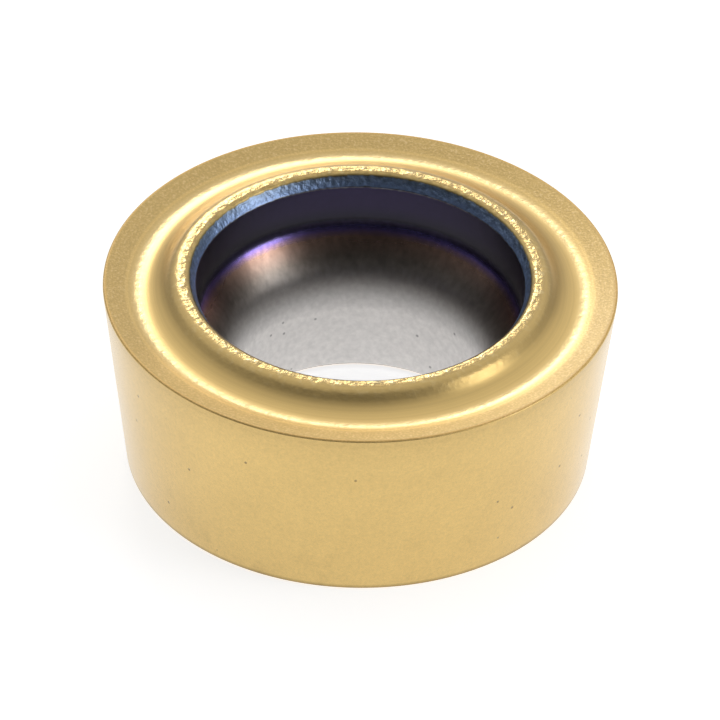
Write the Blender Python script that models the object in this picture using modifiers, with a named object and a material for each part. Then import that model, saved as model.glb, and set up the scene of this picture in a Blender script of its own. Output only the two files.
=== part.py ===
# Round indexable milling insert: a positive button insert of sintered carbide with a gold coating.
# One turned body stands on its seat face, with its axis on +Z and its origin at the centre of that face.

import math

import bpy

MM = 0.001

# Outer form
EDGE_DIAMETER = 10.0 * MM              # across the cutting edge
EDGE_HEIGHT = 3.97 * MM                # from the seat face to the cutting edge
CLEARANCE_ANGLE = math.radians(7.0)    # taper of the flank below the cutting edge
EDGE_HONE = 0.04 * MM                  # radius on the cutting edge
SEAT_EDGE_RADIUS = 0.06 * MM           # broken edge between the flank and the seat face

# Chip breaker on the rake face, from the cutting edge inwards
LAND_WIDTH = 0.61 * MM                 # flat land behind the cutting edge, measured along the radius
LAND_ANGLE = math.radians(13.0)        # positive rake: the land falls towards the axis
CREASE_RADIUS = 0.25 * MM              # hollow between the land and the groove floor
FLOOR_WIDTH = 0.10 * MM                # level floor of the groove
GROOVE_SHARE = 0.68                    # share of the rise from groove to collar that the hollow arc takes
COLLAR_RISE = 0.215 * MM               # collar crest above the cutting edge
CREST_WIDTH = 0.156 * MM               # level crest, with its rounded inner corner
CREST_INNER_RADIUS = 0.14 * MM

# Screw hole through the middle
MOUTH_DIAMETER = 6.42 * MM             # counterbore that clears the screw head
MOUTH_BEVEL_HEIGHT = 0.215 * MM        # bevel between the counterbore and the collar crest
MOUTH_BEVEL_ANGLE = math.radians(30.0)
MOUTH_EDGE_RADIUS = 0.03 * MM
COUNTERBORE_DEPTH = 0.89 * MM          # straight wall below the bevel
HEAD_SEAT_ANGLE = math.radians(36.0)   # half angle of the cone that centres the screw head
HEAD_SEAT_TOP_RADIUS = 0.10 * MM
HEAD_SEAT_LIP_RADIUS = 1.00 * MM       # rounded lip where the cone meets the hole
HOLE_DIAMETER = 5.0 * MM
HOLE_CHAMFER = 0.15 * MM               # broken edge where the hole meets the seat face

# Facets
TURN_STEPS = 80
MERGE_DISTANCE = 0.001 * MM
FILLET_STEP = math.radians(11.0)       # largest turn of one chord in a rounded corner

COATING_COLOUR = (0.72, 0.53, 0.20, 1.0)
COATING_ROUGHNESS = 0.32


def clear_scene():
    for thing in list(bpy.data.objects):
        bpy.data.objects.remove(thing, do_unlink=True)


def make_collection(name):
    collection = bpy.data.collections.new(name)
    bpy.context.scene.collection.children.link(collection)
    return collection


def coating_material():
    material = bpy.data.materials.new("gold_coating")
    material.use_nodes = True
    shader = material.node_tree.nodes["Principled BSDF"]
    shader.inputs["Base Color"].default_value = COATING_COLOUR
    shader.inputs["Roughness"].default_value = COATING_ROUGHNESS
    shader.inputs["Metallic"].default_value = 1.0
    return material


def rounded_corner(before, corner, after, radius):
    # Arc of the given radius that touches both legs of the corner, walked from the first leg to the second.
    if radius <= 0.0:
        return [corner]
    angle_in = math.atan2(corner[1] - before[1], corner[0] - before[0])
    angle_out = math.atan2(after[1] - corner[1], after[0] - corner[0])
    turn = math.remainder(angle_out - angle_in, math.tau)
    side = math.copysign(1.0, turn)
    setback = radius * math.tan(abs(turn) / 2.0)
    start = (corner[0] - setback * math.cos(angle_in), corner[1] - setback * math.sin(angle_in))
    centre = (start[0] - side * radius * math.sin(angle_in), start[1] + side * radius * math.cos(angle_in))
    steps = max(1, math.ceil(abs(turn) / FILLET_STEP))
    points = []
    for index in range(steps + 1):
        heading = angle_in + turn * index / steps
        points.append((centre[0] + side * radius * math.sin(heading),
                       centre[1] - side * radius * math.cos(heading)))
    return points


def insert_profile():
    # Half section as (radius, height): down the flank, in along the seat face, up the hole, out over the rake face.
    edge_radius = EDGE_DIAMETER / 2.0
    seat_radius = edge_radius - EDGE_HEIGHT * math.tan(CLEARANCE_ANGLE)
    hole_radius = HOLE_DIAMETER / 2.0
    mouth_radius = MOUTH_DIAMETER / 2.0
    crest_height = EDGE_HEIGHT + COLLAR_RISE
    mouth_height = crest_height - MOUTH_BEVEL_HEIGHT
    cone_top = mouth_height - COUNTERBORE_DEPTH
    cone_foot = cone_top - (mouth_radius - hole_radius) / math.tan(HEAD_SEAT_ANGLE)
    crest_inner = mouth_radius + MOUTH_BEVEL_HEIGHT * math.tan(MOUTH_BEVEL_ANGLE)
    crest_outer = crest_inner + CREST_WIDTH

    # The collar rises in an ogee: a hollow groove arc runs straight into the rounded crest arc.
    land_inner = edge_radius - LAND_WIDTH
    floor_height = EDGE_HEIGHT - LAND_WIDTH * math.tan(LAND_ANGLE)
    groove_start = land_inner - FLOOR_WIDTH
    half_slope = math.atan2(crest_height - floor_height, groove_start - crest_outer)
    both_radii = (groove_start - crest_outer) / math.sin(2.0 * half_slope)
    groove_radius = GROOVE_SHARE * both_radii
    crest_radius = both_radii - groove_radius

    corners = [
        ((edge_radius, EDGE_HEIGHT), EDGE_HONE),
        ((seat_radius, 0.0), SEAT_EDGE_RADIUS),
        ((hole_radius + HOLE_CHAMFER, 0.0), 0.0),
        ((hole_radius, HOLE_CHAMFER), 0.0),
        ((hole_radius, cone_foot), HEAD_SEAT_LIP_RADIUS),
        ((mouth_radius, cone_top), HEAD_SEAT_TOP_RADIUS),
        ((mouth_radius, mouth_height), MOUTH_EDGE_RADIUS),
        ((crest_inner, crest_height), CREST_INNER_RADIUS),
        ((crest_outer + crest_radius * math.tan(half_slope), crest_height), crest_radius),
        ((groove_start - groove_radius * math.tan(half_slope), floor_height), groove_radius),
        ((land_inner, floor_height), CREASE_RADIUS),
    ]
    points = []
    for index, (corner, radius) in enumerate(corners):
        before = corners[index - 1][0]
        after = corners[(index + 1) % len(corners)][0]
        for point in rounded_corner(before, corner, after, radius):
            if not points or math.dist(point, points[-1]) > MERGE_DISTANCE:
                points.append(point)
    return points


def turned_body(name, points, material, collection):
    # The closed half section, carried once round the Z axis.
    mesh = bpy.data.meshes.new(name)
    count = len(points)
    edges = [(index, (index + 1) % count) for index in range(count)]
    mesh.from_pydata([(radius, 0.0, height) for radius, height in points], edges, [])
    mesh.materials.append(material)
    body = bpy.data.objects.new(name, mesh)
    collection.objects.link(body)
    turn = body.modifiers.new("turn", "SCREW")
    turn.axis = "Z"
    turn.angle = math.tau
    turn.screw_offset = 0.0
    turn.steps = TURN_STEPS
    turn.render_steps = TURN_STEPS
    turn.use_merge_vertices = True
    turn.merge_threshold = MERGE_DISTANCE
    turn.use_smooth_shade = True
    return body


clear_scene()
insert_parts = make_collection("round_milling_insert")
turned_body("round_insert", insert_profile(), coating_material(), insert_parts)
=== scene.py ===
import math

import bpy
import numpy as np
from mathutils import Matrix, Vector


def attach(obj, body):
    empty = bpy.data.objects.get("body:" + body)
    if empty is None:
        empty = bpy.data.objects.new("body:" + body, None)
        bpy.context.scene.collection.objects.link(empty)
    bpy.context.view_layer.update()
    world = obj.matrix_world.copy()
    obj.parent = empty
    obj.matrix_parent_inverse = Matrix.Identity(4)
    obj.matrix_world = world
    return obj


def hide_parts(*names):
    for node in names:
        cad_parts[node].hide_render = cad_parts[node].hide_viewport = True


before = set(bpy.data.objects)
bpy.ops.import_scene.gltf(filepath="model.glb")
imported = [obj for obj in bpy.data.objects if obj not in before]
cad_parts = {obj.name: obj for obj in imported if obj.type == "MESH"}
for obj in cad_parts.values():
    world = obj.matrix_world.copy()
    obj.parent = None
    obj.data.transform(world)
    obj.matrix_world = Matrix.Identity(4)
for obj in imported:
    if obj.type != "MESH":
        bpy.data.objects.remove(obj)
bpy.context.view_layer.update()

mm = 0.001

# The insert, in millimetres and degrees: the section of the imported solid,
# with a softer crease, wall, crest, mouth, cone top and chamfer
insert = {
    "edgeRadius": 5.0, "edgeHeight": 3.97, "edgeHone": 0.041,
    "clearance": 7.0,                # taper of the flank
    "seatEdge": 0.06,
    "landWidth": 0.61, "landAngle": 13.0, "creaseRound": 0.55, "floorWidth": 0.10,
    "wallAngle": 43.0,               # steepest slope of the collar wall
    "grooveShare": 0.68,             # share of the two wall roundings that the hollow groove takes
    "collarRise": 0.215, "crestWidth": 0.156, "crestRound": 0.15,
    "mouthRadius": 3.19, "bevelHeight": 0.25, "bevelAngle": 30.0, "mouthRound": 0.03,
    "counterbore": 0.855, "coneAngle": 36.0, "coneTopRound": 0.45, "coneLipRound": 1.00,
    "holeRadius": 2.50, "holeChamfer": 0.15, "chamferRound": 0.02,
    "turns": 620,                    # points round the axis
    "arcStep": 5.0,                  # degrees of turn per point in a rounded corner
    "smallRound": 0.1,               # a corner rounded by no more than this
    "smallArcStep": 9.0,             # turns by this much per point
    "sameSpot": 1e-6,                # points closer than this are one
    "spacing": {                     # between the points of each straight leg
        "flank": 0.40, "seat": 0.40, "chamfer": 0.20, "hole": 0.30, "cone": 0.12, "counterbore": 0.15,
        "bevel": 0.022, "crest": 0.02, "wall": 0.05, "floor": 0.03, "land": 0.04,
    },
}


def roundedCorner(before, corner, after, radius, step):
    # arc touching both legs: centre one radius to the inside of the first leg, heading swept from leg to leg
    before, corner, after = (np.array(p, float) for p in (before, corner, after))
    headIn = math.atan2(*(corner - before)[::-1])
    headOut = math.atan2(*(after - corner)[::-1])
    turn = math.remainder(headOut - headIn, math.tau)
    side = math.copysign(1.0, turn)
    start = corner - radius * math.tan(abs(turn) / 2) * np.array([math.cos(headIn), math.sin(headIn)])
    centre = start + side * radius * np.array([-math.sin(headIn), math.cos(headIn)])
    steps = max(2, math.ceil(math.degrees(abs(turn)) / step))
    heading = headIn + turn * np.linspace(0, 1, steps + 1)
    return centre + side * radius * np.stack([np.sin(heading), -np.cos(heading)], 1)


def insertSection(s):
    # half section walked down the flank, in along the seat, up the hole and out over the rake face;
    # the collar wall is a straight slope between two arcs, whose radii add up to
    # (run x sin - rise x cos) / (1 - cos) of the slope angle
    edgeR, edgeZ, holeR, mouthR = s["edgeRadius"], s["edgeHeight"], s["holeRadius"], s["mouthRadius"]
    seatR = edgeR - edgeZ * math.tan(math.radians(s["clearance"]))
    crestZ = edgeZ + s["collarRise"]
    mouthZ = crestZ - s["bevelHeight"]
    coneTop = mouthZ - s["counterbore"]
    coneFoot = coneTop - (mouthR - holeR) / math.tan(math.radians(s["coneAngle"]))
    crestIn = mouthR + s["bevelHeight"] * math.tan(math.radians(s["bevelAngle"]))
    crestOut = crestIn + s["crestWidth"]
    landR = edgeR - s["landWidth"]
    floorZ = edgeZ - s["landWidth"] * math.tan(math.radians(s["landAngle"]))
    grooveR = landR - s["floorWidth"]
    wall = math.radians(s["wallAngle"])
    run, rise = grooveR - crestOut, crestZ - floorZ
    bothRounds = (run * math.sin(wall) - rise * math.cos(wall)) / (1 - math.cos(wall))
    grooveRound = s["grooveShare"] * bothRounds
    collarRound = (1 - s["grooveShare"]) * bothRounds
    corners = [   # corner, rounding, leg that follows
        ((edgeR, edgeZ), s["edgeHone"], "flank"),
        ((seatR, 0.0), s["seatEdge"], "seat"),
        ((holeR + s["holeChamfer"], 0.0), s["chamferRound"], "chamfer"),
        ((holeR, s["holeChamfer"]), s["chamferRound"], "hole"),
        ((holeR, coneFoot), s["coneLipRound"], "cone"),
        ((mouthR, coneTop), s["coneTopRound"], "counterbore"),
        ((mouthR, mouthZ), s["mouthRound"], "bevel"),
        ((crestIn, crestZ), s["crestRound"], "crest"),
        ((crestOut + collarRound * math.tan(wall / 2), crestZ), collarRound, "wall"),
        ((grooveR - grooveRound * math.tan(wall / 2), floorZ), grooveRound, "floor"),
        ((landR, floorZ), s["creaseRound"], "land"),
    ]
    arcs = []
    for i, (corner, rounding, _) in enumerate(corners):
        after = corners[(i + 1) % len(corners)][0]
        step = s["arcStep"] if rounding > s["smallRound"] else s["smallArcStep"]
        arcs.append(roundedCorner(corners[i - 1][0], corner, after, rounding, step))
    points = []
    for arc, nextArc, (_, _, leg) in zip(arcs, arcs[1:] + arcs[:1], corners):
        reach = nextArc[0] - arc[-1]
        cuts = max(1, round(float(np.linalg.norm(reach)) / s["spacing"][leg]))
        points += [arc, arc[-1] + reach * np.linspace(0, 1, cuts + 1)[1:-1, None]]
    points = np.concatenate(points)
    points = points[np.linalg.norm(points - np.roll(points, 1, 0), axis=1) > s["sameSpot"]]
    return points, {"crest": crestZ, "mouth": mouthZ, "crestOut": crestOut, "land": landR, "floor": floorZ}


# Pressed grain of the rake face, in millimetres
pressedGrain = {
    "crestSpread": 0.0014,           # spread of its depth on the collar crest
    "creaseSpread": 0.0005,          # and along the inner edge of the land
    "crestBand": (-0.045, 0.12),     # centre from the outer end of the crest, and width
    "wallBand": (0.19, 0.15),
    "wallShare": 0.36,
    "creaseBand": (-0.045, 0.085),   # centre from the inner edge of the land, and width
    "creaseFrom": 4.0,               # least radius
    "floorMargin": 0.01,             # reaches this far below the groove floor
    "mouthMargin": 0.02,             # and stops this far above the mouth
    "wavelengths": (3.6, 3.4),       # along the section and round the axis, in points
    "cap": 1.5,                      # highest grain, in spreads
    "seed": 7,
}


def smoothNoise(rows, columns, wavelengths, seed):
    # white noise with its short waves damped by a bell curve, periodic both ways, scaled to unit spread
    white = np.random.default_rng(seed).standard_normal((rows, columns))
    rowWaves = np.fft.fftfreq(rows)[:, None] * wavelengths[0]
    columnWaves = np.fft.rfftfreq(columns)[None, :] * wavelengths[1]
    damping = np.exp(-2.0 * (rowWaves ** 2 + columnWaves ** 2))
    soft = np.fft.irfft2(np.fft.rfft2(white) * damping, s=(rows, columns))
    return soft / soft.std()


def bell(value, start, band):
    # bell curve: exp of minus the squared distance from the band's centre, counted in its widths
    centre, width = band
    return np.exp(-((value - start - centre) / width) ** 2)


def grainBands(g, section, marks):
    # one bell across the crest with a fainter one down the wall, and one across the crease
    radius, height = section.T
    above = height > marks["floor"] - g["floorMargin"]
    ridge = bell(radius, marks["crestOut"], g["crestBand"])
    ridge = ridge + g["wallShare"] * bell(radius, marks["crestOut"], g["wallBand"])
    crest = np.where(above & (height > marks["mouth"] + g["mouthMargin"]), ridge, 0.0)
    crease = np.where(above & (radius > g["creaseFrom"]), bell(radius, marks["land"], g["creaseBand"]), 0.0)
    return crest, crease


# Zones of the finish, in millimetres
zoneEdges = {
    "seatMargin": 0.02,              # the bore's zone stops this far above the seat face
    "landDrop": 0.03,                # depth under the land's slope that still is land
    "landStart": 0.05,               # the land's zone starts this far inside its inner edge
    "landFade": 0.30,                # and is full after this
    "honeWidth": 0.07,
    "flankSkin": 0.02,               # depth under the flank that still is flank
    "flankTop": 0.04,                # stops this far below the cutting edge
    "creaseGrain": 0.45,             # shares that the crease has of the grain
    "creasePaleHighlight": 0.28,              # and of the pale colour, a painted highlight in part
}


def finishZones(s, e, section, marks, crest, crease):
    # depth below the collar crest inside the bore, and the shares of land, grain, pale colour (a painted
    # highlight in part), hone and flank
    radius, height = section.T
    inside = (radius < s["mouthRadius"] + s["bevelHeight"]) & (height > e["seatMargin"])
    landLine = s["edgeHeight"] - (s["edgeRadius"] - radius) * math.tan(math.radians(s["landAngle"]))
    onLand = height > landLine - e["landDrop"]
    landFade = np.clip((radius - marks["land"] + e["landStart"]) / e["landFade"], 0.0, 1.0)
    flankLine = s["edgeRadius"] - (s["edgeHeight"] - height) * math.tan(math.radians(s["clearance"]))
    onFlank = (radius > flankLine - e["flankSkin"]) & (height < s["edgeHeight"] - e["flankTop"])
    return {
        "boreDepth": np.where(inside, marks["crest"] - height, 0.0),
        "landShare": np.where(onLand, landFade, 0.0),
        "grainShare": np.clip(crest + e["creaseGrain"] * crease, 0.0, 1.0),
        "paleHighlightShare": e["creasePaleHighlight"] * crease,
        "honeShare": np.where(onLand & (radius > s["edgeRadius"] - e["honeWidth"]), 1.0, 0.0),
        "flankShare": np.where(onFlank, 1.0, 0.0),
    }


def turnedInsert(s, g, e):
    # the section carried round the axis: x = r cos, y = r sin, z = height, sunk along the normal by the grain
    section, marks = insertSection(s)
    crest, crease = grainBands(g, section, marks)
    rows, turns = len(section), s["turns"]
    tangent = np.roll(section, -1, 0) - np.roll(section, 1, 0)
    tangent /= np.linalg.norm(tangent, axis=1, keepdims=True)
    normal = np.stack([-tangent[:, 1], tangent[:, 0]], 1)
    grain = np.minimum(smoothNoise(rows, turns, g["wavelengths"], g["seed"]), g["cap"]) - g["cap"]
    relief = grain * (g["crestSpread"] * crest + g["creaseSpread"] * crease)[:, None]
    r = section[:, 0, None] + normal[:, 0, None] * relief
    z = section[:, 1, None] + normal[:, 1, None] * relief
    angle = math.tau * np.arange(turns) / turns
    xyz = np.stack([r * np.cos(angle), r * np.sin(angle), z], 2).reshape(-1, 3) * mm
    i, j = np.meshgrid(np.arange(rows), np.arange(turns), indexing="ij")
    iNext, jNext = (i + 1) % rows, (j + 1) % turns
    quads = np.stack([i * turns + j, iNext * turns + j, iNext * turns + jNext, i * turns + jNext], 2)
    quads = quads.reshape(-1, 4)
    mesh = bpy.data.meshes.new("roundInsert")
    mesh.vertices.add(len(xyz))
    mesh.vertices.foreach_set("co", xyz.ravel())
    mesh.loops.add(quads.size)
    mesh.loops.foreach_set("vertex_index", quads.ravel())
    mesh.polygons.add(len(quads))
    mesh.polygons.foreach_set("loop_start", np.arange(len(quads)) * 4)
    mesh.update(calc_edges=True)
    for name, values in finishZones(s, e, section, marks, crest, crease).items():
        mesh.attributes.new(name, "FLOAT", "POINT").data.foreach_set("value", np.repeat(values, turns))
    mesh.shade_smooth()
    print("turned insert", rows, "section points,", len(quads) * 2, "triangles")
    return mesh


def node(tree, kind, inputs=None, **values):
    made = tree.nodes.new(kind)
    for key, value in values.items():
        setattr(made, key, value)
    for key, value in (inputs or {}).items():
        if isinstance(value, bpy.types.NodeSocket):
            tree.links.new(value, made.inputs[key])
        else:
            made.inputs[key].default_value = value
    return made


def maths(tree, operation, first, second=0.0, third=0.0):
    return node(tree, "ShaderNodeMath", {0: first, 1: second, 2: third}, operation=operation).outputs[0]


def plus(tree, first, second):
    return maths(tree, "ADD", first, second)


def times(tree, first, second):
    return maths(tree, "MULTIPLY", first, second)


def plusShare(tree, base, share, amount):
    return maths(tree, "MULTIPLY_ADD", share, amount, base)


def centred(tree, pattern, amount):
    # a pattern about one half becomes one about zero
    return times(tree, maths(tree, "SUBTRACT", pattern, 0.5), amount)


def spread(tree, source, low, high, toLow=0.0, toHigh=1.0):
    made = node(tree, "ShaderNodeMapRange", {0: source, 1: low, 2: high, 3: toLow, 4: toHigh})
    return made.outputs[0]


def window(tree, source, inLow, inHigh, outLow, outHigh):
    # rises over the first pair of values and falls over the second
    return times(tree, spread(tree, source, inLow, inHigh), spread(tree, source, outLow, outHigh, 1.0, 0.0))


def ramp(tree, source, stops):
    made = node(tree, "ShaderNodeValToRGB", {"Fac": source})
    elements = made.color_ramp.elements
    while len(elements) < len(stops):
        elements.new(0.5)
    for element, (place, colour) in zip(elements, stops):
        element.position = place
        element.color = (*colour, 1.0)
    return made.outputs["Color"]


def mixed(tree, share, first, second, blend="MIX"):
    # inputs 6 and 7 are the two colours
    made = node(tree, "ShaderNodeMix", {0: share, 6: first, 7: second}, data_type="RGBA", blend_type=blend)
    return made.outputs[2]


def noise(tree, vector, scale, detail):
    made = node(tree, "ShaderNodeTexNoise", {"Vector": vector, "Scale": scale, "Detail": detail})
    return made.outputs["Fac"]


def stretched(tree, place, upScale):
    return node(tree, "ShaderNodeMapping", {"Vector": place, "Scale": (1.0, 1.0, upScale)}).outputs[0]


# Finish: satin gold outside, thin-film colours down the bore with painted shade where the crest rounds into
# it, bare grey in the hole with painted light deeper down
finish = {
    "coat": 0.45, "coatRoughness": 0.30,
    "depthSpan": 4.2,                # millimetres of bore depth over the whole ramp
    "film": [                        # depth below the crest in millimetres, colour, roughness
        (0.00, (0.797, 0.560, 0.207), 0.34),
        # gold darkening into a dark olive band where the crest rounds over into the bevel: painted shade
        # along that edge
        (0.034, (0.70, 0.50, 0.18), 0.34),
        (0.052, (0.18, 0.15, 0.06), 0.40),
        (0.067, (0.26, 0.355, 0.51), 0.46),
        (0.230, (0.275, 0.395, 0.66), 0.46),
        (0.243, (0.24, 0.25, 0.28), 0.40),
        (0.257, (0.10, 0.095, 0.11), 0.38),
        (0.275, (0.020, 0.013, 0.048), 0.36),
        (0.70, (0.018, 0.012, 0.040), 0.36),
        (1.01, (0.012, 0.011, 0.020), 0.36),
        (1.13, (0.060, 0.052, 0.115), 0.30),
        (1.17, (0.155, 0.12, 0.35), 0.26),
        (1.21, (0.19, 0.13, 0.42), 0.26),
        (1.26, (0.27, 0.165, 0.27), 0.26),
        (1.33, (0.33, 0.20, 0.15), 0.27),
        (1.65, (0.24, 0.20, 0.17), 0.32),
        # bare grey that lightens deeper down the hole: partly painted light from the floor below
        (1.95, (0.29, 0.275, 0.262), 0.50),
        (2.30, (0.46, 0.447, 0.437), 0.62),
        (2.75, (0.80, 0.78, 0.762), 0.66),
    ],
    # patterns: scale per metre and octaves
    "cloud": (900.0, 3.0), "sand": (21000.0, 3.0), "speck": (9000.0, 2.0), "grain": (8000.0, 3.0),
    "lowPatches": (1900.0, 4.0), "rings": (16000.0, 2.0),
    "streak": (8000.0, 2.0), "streakStretch": 0.12,
    "lines": (1400.0, 3.0), "lineSquash": 24.0,
    "flankPit": (1700.0, 0.030, 0.066, 1.0),    # cells per metre, core and rim of a pit in cells, darkness
    "holePit": (2900.0, 0.045, 0.115, 0.9),
    # depths below the crest, in millimetres
    "boreStart": 0.004,
    "raggedness": 0.05,
    "bevelDepths": (0.05, 0.08, 0.22, 0.25),
    "coneDepths": (1.05, 1.15, 1.7, 2.2),
    "holeDepths": (1.9, 2.0),
    "mottleDepths": (0.21, 0.26), "mottleBelow": 0.30,
    # heights above the seat face, in millimetres
    "rakeHeights": (3.7, 3.8),
    # painted shade: the flank grows darker towards its top
    "flankTopShadeHeights": (3.2, 3.9),
    # darker patches, strongest at the foot of the flank and fading upwards
    "lowPatchesHeights": (0.0, 1.6), "lowPatchesAbove": 0.15, "lowPatchesLevels": (0.56, 0.70),
    # painted shade along the foot of the flank, just above the seat face
    "seatShadeHeights": (0.04, 0.12),
    # lighter and darker: amounts added to the tint, which multiplies the colour
    "baseTint": 0.95, "cloudTint": 0.10,
    "sandTint": 0.42, "landTint": -0.21, "honeTint": 0.20, "ringTint": 0.20, "grainTint": -0.37,
    "streakTint": 0.75, "mottleTint": 1.0,
    "flankTint": -0.16, "flankSpeckTint": 0.12, "flankSandTint": 0.18,
    # painted shade along the foot of the flank and at its top, and darker patches low on the flank
    "seatShadeTint": -0.40, "lowPatchesTint": -0.08, "flankTopTint": -0.08,
    "pitTint": -0.55,
    # colours mixed in
    # pale colour along the crease: partly a paler worn edge, partly a painted highlight
    "paleColour": (0.93, 0.78, 0.48),
    # painted glints: pale spots on the grain of crest and crease that stand in for sparkle
    "glintColour": (0.97, 0.82, 0.47), "glintShare": 0.32, "glintLevels": (0.54, 0.66),
    # rosy specks on the land: partly sandy tone, partly painted sparkle
    "rosyColour": (0.94, 0.79, 0.58), "rosyShare": 0.20, "rosyLevels": (0.52, 0.70),
    # roughness added to that of the film
    "landRough": 0.15, "honeRough": 0.18, "flankRough": -0.11, "grainRough": -0.10, "cloudRough": 0.08,
    # relief: strengths, and depths in millimetres
    "allSand": 0.04, "landSand": 0.32, "sandDepth": 0.02,
    "crestRelief": 0.42, "bevelRelief": 0.65, "grainDepth": 0.05,
    "lineRelief": 0.028, "lineDepth": 0.02,
    "pitRelief": 0.5, "pitDepth": 0.02,
}


def coatingPatterns(tree, f):
    # noises on Object coordinates, with the height above the seat face
    place = node(tree, "ShaderNodeTexCoord").outputs["Object"]
    pattern = {name: noise(tree, place, *f[name]) for name in ("cloud", "sand", "speck", "grain", "lowPatches")}
    pattern["streak"] = noise(tree, stretched(tree, place, f["streakStretch"]), *f["streak"])
    pattern["lines"] = noise(tree, stretched(tree, place, f["lineSquash"]), *f["lines"])
    flat = stretched(tree, place, 0.0)
    radius = node(tree, "ShaderNodeVectorMath", {0: flat}, operation="LENGTH").outputs["Value"]
    ringScale, ringDetail = f["rings"]
    ringInputs = {"W": radius, "Scale": ringScale, "Detail": ringDetail}
    pattern["rings"] = node(tree, "ShaderNodeTexNoise", ringInputs, noise_dimensions="1D").outputs["Fac"]
    for name in ("flankPit", "holePit"):
        scale, core, rim, darkness = f[name]
        cell = node(tree, "ShaderNodeTexVoronoi", {"Vector": place, "Scale": scale}).outputs["Distance"]
        pattern[name] = spread(tree, cell, core, rim, darkness, 0.0)
    pattern["height"] = node(tree, "ShaderNodeSeparateXYZ", {0: place}).outputs[2]
    return pattern


def coatingAreas(tree, f, pattern):
    # the insert's own zones, and the areas that follow from depth and height
    def overHeight(key, toLow=0.0, toHigh=1.0):
        low, high = f[key]
        return spread(tree, pattern["height"], low * mm, high * mm, toLow, toHigh)

    names = ("boreDepth", "landShare", "grainShare", "paleHighlightShare", "honeShare", "flankShare")
    area = {name: node(tree, "ShaderNodeAttribute", attribute_name=name).outputs["Fac"] for name in names}
    depth = area["boreDepth"]
    area["bore"] = maths(tree, "GREATER_THAN", depth, f["boreStart"])
    outside = maths(tree, "LESS_THAN", depth, f["boreStart"])
    area["rake"] = times(tree, overHeight("rakeHeights"), outside)
    area["bevel"] = window(tree, depth, *f["bevelDepths"])
    area["cone"] = window(tree, depth, *f["coneDepths"])
    area["mottle"] = times(tree, area["bore"], spread(tree, depth, *f["mottleDepths"], 1.0, f["mottleBelow"]))
    # painted shade: darker towards the top of the flank
    area["flankTop"] = overHeight("flankTopShadeHeights")
    # painted shade along the foot of the flank, just above the seat face
    area["seatShade"] = overHeight("seatShadeHeights", 1.0, 0.0)
    # darker patches, strongest at the foot of the flank and fading upwards
    lowPatchShare = spread(tree, pattern["lowPatches"], *f["lowPatchesLevels"])
    area["lowPatches"] = times(tree, lowPatchShare, overHeight("lowPatchesHeights", 1.0, f["lowPatchesAbove"]))
    flankPits = times(tree, pattern["flankPit"], area["flankShare"])
    holePits = times(tree, pattern["holePit"], spread(tree, depth, *f["holeDepths"]))
    area["pit"] = maths(tree, "MAXIMUM", flankPits, holePits)
    return area


def boreFilm(tree, f, pattern, area):
    # depth down the bore with a ragged edge, read off the film colours and their roughness
    ragged = plus(tree, area["boreDepth"], centred(tree, pattern["speck"], f["raggedness"]))
    depth = maths(tree, "DIVIDE", times(tree, ragged, area["bore"]), f["depthSpan"])
    colour = ramp(tree, depth, [(d / f["depthSpan"], c) for d, c, _ in f["film"]])
    roughness = ramp(tree, depth, [(d / f["depthSpan"], (r, r, r)) for d, _, r in f["film"]])
    return colour, roughness


def coatingTint(tree, f, pattern, area):
    # slow clouding, then sand on the land, streaks down the cone, mottle in the bore, rings on the rake face,
    # the flank with painted shade along its foot and at its top and darker patches low down, and dark pits
    speck = centred(tree, pattern["speck"], f["flankSpeckTint"])
    sand = centred(tree, pattern["sand"], f["flankSandTint"])
    flank = plus(tree, plus(tree, speck, sand), f["flankTint"])
    # painted shade along the foot and at the top of the flank, and darker patches low down
    for name in ("seatShade", "lowPatches", "flankTop"):
        flank = plusShare(tree, flank, area[name], f[name + "Tint"])
    tint = plusShare(tree, f["baseTint"], pattern["cloud"], f["cloudTint"])
    tint = plus(tree, tint, times(tree, flank, area["flankShare"]))
    for name, amount, where in (("sand", "sandTint", "landShare"), ("streak", "streakTint", "cone"),
                                ("speck", "mottleTint", "mottle"), ("rings", "ringTint", "rake")):
        tint = plus(tree, tint, times(tree, centred(tree, pattern[name], f[amount]), area[where]))
    for name in ("land", "hone", "grain"):
        tint = plusShare(tree, tint, area[name + "Share"], f[name + "Tint"])
    return times(tree, tint, plusShare(tree, 1.0, area["pit"], f["pitTint"]))


def coatingColour(tree, f, pattern, area, film):
    # film colour, paler along the crease as a painted highlight in part, times the tint, with painted glints
    # in the grain and rosy specks on the land that are painted sparkle in part
    # paler along the crease: partly a painted highlight
    colour = mixed(tree, area["paleHighlightShare"], film, (*f["paleColour"], 1.0))
    tint = coatingTint(tree, f, pattern, area)
    grey = node(tree, "ShaderNodeCombineColor", {0: tint, 1: tint, 2: tint}).outputs[0]
    colour = mixed(tree, 1.0, colour, grey, "MULTIPLY")
    # painted glints on the grain, and rosy specks on the land that are painted sparkle in part
    for name, source, where in (("glint", "grain", "grainShare"), ("rosy", "sand", "landShare")):
        share = times(tree, spread(tree, pattern[source], *f[name + "Levels"]), area[where])
        colour = mixed(tree, times(tree, share, f[name + "Share"]), colour, (*f[name + "Colour"], 1.0))
    return colour


def coatingRoughness(tree, f, pattern, area, film):
    # film roughness, changed on land, hone, flank and grain, with slow clouding
    rough = film
    for name in ("land", "hone", "flank", "grain"):
        rough = plusShare(tree, rough, area[name + "Share"], f[name + "Rough"])
    return plus(tree, rough, centred(tree, pattern["cloud"], f["cloudRough"]))


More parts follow.
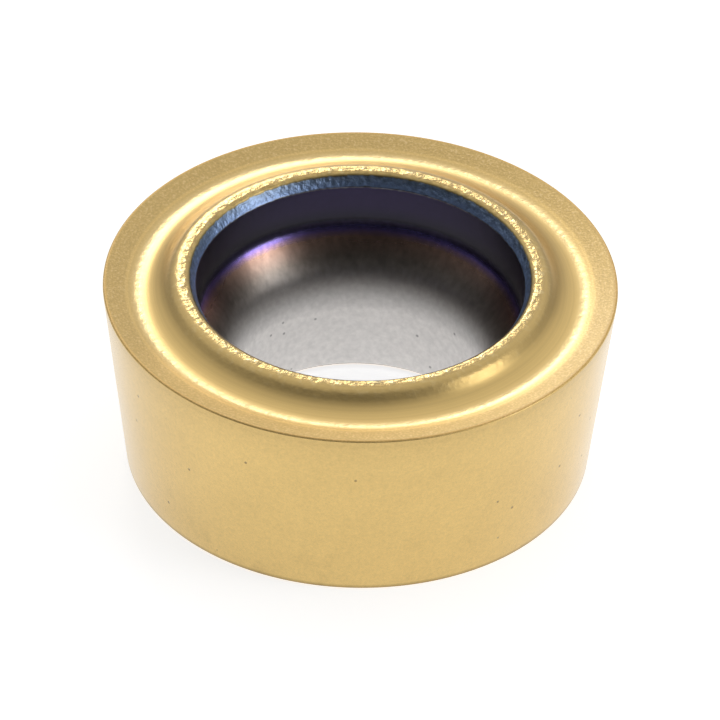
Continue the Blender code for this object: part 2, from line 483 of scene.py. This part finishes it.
def coatingRelief(tree, f, pattern, area):
    # sand on the land, pressed grain on crest, crease and bevel, grinding lines round the flank, pits
    sandStrength = plusShare(tree, f["allSand"], area["landShare"], f["landSand"])
    bevelStrength = times(tree, area["bevel"], f["bevelRelief"])
    grainStrength = plusShare(tree, bevelStrength, area["grainShare"], f["crestRelief"])
    lineStrength = times(tree, area["flankShare"], f["lineRelief"])
    pitStrength = times(tree, area["flankShare"], f["pitRelief"])
    layers = [
        (pattern["sand"], sandStrength, f["sandDepth"]),
        (pattern["grain"], grainStrength, f["grainDepth"]),
        (pattern["lines"], lineStrength, f["lineDepth"]),
        (maths(tree, "SUBTRACT", 1.0, area["pit"]), pitStrength, f["pitDepth"]),
    ]
    normal = None
    for height, strength, depth in layers:
        bump = node(tree, "ShaderNodeBump", {"Strength": strength, "Distance": depth * mm, "Height": height})
        if normal:
            tree.links.new(normal, bump.inputs["Normal"])
        normal = bump.outputs[0]
    return normal


def coatedCarbide(f):
    material = bpy.data.materials.new("coatedCarbide")
    material.use_nodes = True
    tree = material.node_tree
    shader = tree.nodes["Principled BSDF"]
    shader.inputs["Metallic"].default_value = 1.0
    shader.inputs["Coat Weight"].default_value = f["coat"]
    shader.inputs["Coat Roughness"].default_value = f["coatRoughness"]
    pattern = coatingPatterns(tree, f)
    area = coatingAreas(tree, f, pattern)
    filmColour, filmRoughness = boreFilm(tree, f, pattern, area)
    tree.links.new(coatingColour(tree, f, pattern, area, filmColour), shader.inputs["Base Color"])
    tree.links.new(coatingRoughness(tree, f, pattern, area, filmRoughness), shader.inputs["Roughness"])
    tree.links.new(coatingRelief(tree, f, pattern, area), shader.inputs["Normal"])
    return material


insertMesh = turnedInsert(insert, pressedGrain, zoneEdges)
insertMesh.materials.append(coatedCarbide(finish))
roundInsert = bpy.data.objects.new("roundInsert", insertMesh)
bpy.context.scene.collection.objects.link(roundInsert)
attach(roundInsert, "root")
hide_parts("round_insert")
print("finish applied")

# Studio: pale floor, a surround that is bright behind and dim in front, soft lamps at the right and the back
studio = {
    "floorRadius": 1.0, "floorDrop": 0.00001,   # metres
    "floorRings": 11, "floorSpokes": 64,
    "floorColour": (0.61, 0.61, 0.61), "floorRoughness": 0.9, "floorSpecular": 0.1,
    "floorGlow": 0.755,              # white that the camera and reflections see in the floor
    "surroundFront": 0.035, "surroundBack": 0.80,
    "surroundLean": (0.0, 0.62, 0.62), "surroundSpan": (-0.20, 1.0),
    "surroundLow": 0.45, "surroundFullRise": 0.5,   # dimmed at the horizon, full from this rise on
    "lamps": [   # name, compass angle from +X, height angle, distance, half angle, radiance
        ("backLamp", 98.0, 30.0, 0.30, 8.0, 6.40),
        ("keyLamp", -8.0, 41.0, 0.30, 9.5, 2.70),
        ("sideLamp", -20.0, 18.0, 0.30, 13.5, 4.30),
    ],
}


def palePaper(s):
    material = bpy.data.materials.new("palePaper")
    material.use_nodes = True
    tree = material.node_tree
    shader = tree.nodes["Principled BSDF"]
    shader.inputs["Base Color"].default_value = (*s["floorColour"], 1.0)
    shader.inputs["Roughness"].default_value = s["floorRoughness"]
    shader.inputs["Specular IOR Level"].default_value = s["floorSpecular"]
    shader.inputs["Emission Color"].default_value = (1.0, 1.0, 1.0, 1.0)
    path = node(tree, "ShaderNodeLightPath").outputs
    seen = maths(tree, "MAXIMUM", path["Is Camera Ray"], path["Is Glossy Ray"])
    seen = maths(tree, "MAXIMUM", seen, path["Is Transmission Ray"])
    tree.links.new(times(tree, seen, s["floorGlow"]), shader.inputs["Emission Strength"])
    return material


def paleFloor(s):
    # flat disc: radius and angle to x = r cos, y = r sin, a hair below the seat face, with a fan at the hub
    rings, spokes, level = s["floorRings"], s["floorSpokes"], -s["floorDrop"]
    radii = np.linspace(0.0, s["floorRadius"], rings + 1)[1:]
    radius, angle = np.meshgrid(radii, math.tau * np.arange(spokes) / spokes, indexing="ij")
    xyz = np.stack([radius * np.cos(angle), radius * np.sin(angle), np.full_like(radius, level)], 2)
    xyz = np.concatenate([xyz.reshape(-1, 3), [[0.0, 0.0, level]]])
    i, j = np.meshgrid(np.arange(rings - 1), np.arange(spokes), indexing="ij")
    jNext = (j + 1) % spokes
    quads = np.stack([i * spokes + j, (i + 1) * spokes + j, (i + 1) * spokes + jNext, i * spokes + jNext], 2)
    spoke = np.arange(spokes)
    hub = np.stack([np.full(spokes, rings * spokes), spoke, (spoke + 1) % spokes], 1)
    mesh = bpy.data.meshes.new("paleFloor")
    mesh.from_pydata(xyz.tolist(), [], quads.reshape(-1, 4).tolist() + hub.tolist())
    mesh.materials.append(palePaper(s))
    floor = bpy.data.objects.new("paleFloor", mesh)
    bpy.context.scene.collection.objects.link(floor)


def studioSurround(s):
    # brightness rises smoothly with the direction's lean towards the back and upwards, and falls off low down
    world = bpy.data.worlds.new("studioSurround")
    world.use_nodes = True
    tree = world.node_tree
    direction = node(tree, "ShaderNodeTexCoord").outputs["Generated"]
    leanInputs = {0: direction, 1: s["surroundLean"]}
    lean = node(tree, "ShaderNodeVectorMath", leanInputs, operation="DOT_PRODUCT").outputs["Value"]
    low, high = s["surroundSpan"]
    levelInputs = {0: lean, 1: low, 2: high, 3: s["surroundFront"], 4: s["surroundBack"]}
    level = node(tree, "ShaderNodeMapRange", levelInputs, interpolation_type="SMOOTHSTEP").outputs[0]
    rise = node(tree, "ShaderNodeSeparateXYZ", {0: direction}).outputs[2]
    level = times(tree, level, spread(tree, rise, 0.0, s["surroundFullRise"], s["surroundLow"], 1.0))
    background = tree.nodes["Background"]
    background.inputs["Color"].default_value = (1.0, 1.0, 1.0, 1.0)
    tree.links.new(level, background.inputs["Strength"])
    bpy.context.scene.world = world


def aim(thing, place, target, roll=0.0):
    # local -Z looks at the target, with +Y upwards and then turned by the roll
    away = (Vector(place) - Vector(target)).normalized()
    right = Vector((0, 0, 1)).cross(away).normalized()
    up = away.cross(right)
    turned = Matrix((right, up, away)).transposed() @ Matrix.Rotation(roll, 3, "Z")
    thing.matrix_world = Matrix.Translation(place) @ turned.to_4x4()


def softLamp(name, compass, rise, distance, halfAngle, radiance):
    # round lamp seen from the insert under the given half angle: power = pi x radiance x area
    lamp = bpy.data.lights.new(name, "AREA")
    lamp.shape = "DISK"
    lamp.size = 2 * distance * math.tan(math.radians(halfAngle))
    lamp.energy = math.pi * radiance * math.pi * (lamp.size / 2) ** 2
    thing = bpy.data.objects.new(name, lamp)
    bpy.context.scene.collection.objects.link(thing)
    turn, lift = math.radians(compass), math.radians(rise)
    level = distance * math.cos(lift)
    aim(thing, (level * math.cos(turn), level * math.sin(turn), distance * math.sin(lift)), (0.0, 0.0, 0.0))


paleFloor(studio)
studioSurround(studio)
for lampValues in studio["lamps"]:
    softLamp(*lampValues)
print("studio lit")

# Camera: long lens, looking along +Y and down
cameraLook = {
    "elevation": 37.35, "roll": 1.20,                                            # degrees
    "distance": 0.250, "clipStart": 0.01, "target": (0.000022, 0.0, 0.00211),    # metres
    "lens": 642.4, "sensor": 36.0,                                               # millimetres
}


def photoCamera(c):
    camera = bpy.data.cameras.new("photoCamera")
    camera.sensor_width = c["sensor"]
    camera.lens = c["lens"]
    camera.clip_start = c["clipStart"]
    thing = bpy.data.objects.new("photoCamera", camera)
    bpy.context.scene.collection.objects.link(thing)
    tilt = math.radians(c["elevation"])
    x, y, z = c["target"]
    place = (x, y - c["distance"] * math.cos(tilt), z + c["distance"] * math.sin(tilt))
    aim(thing, place, c["target"], math.radians(c["roll"]))
    bpy.context.scene.camera = thing


photoCamera(cameraLook)
bpy.context.scene.view_settings.view_transform = "Standard"
print("camera set")
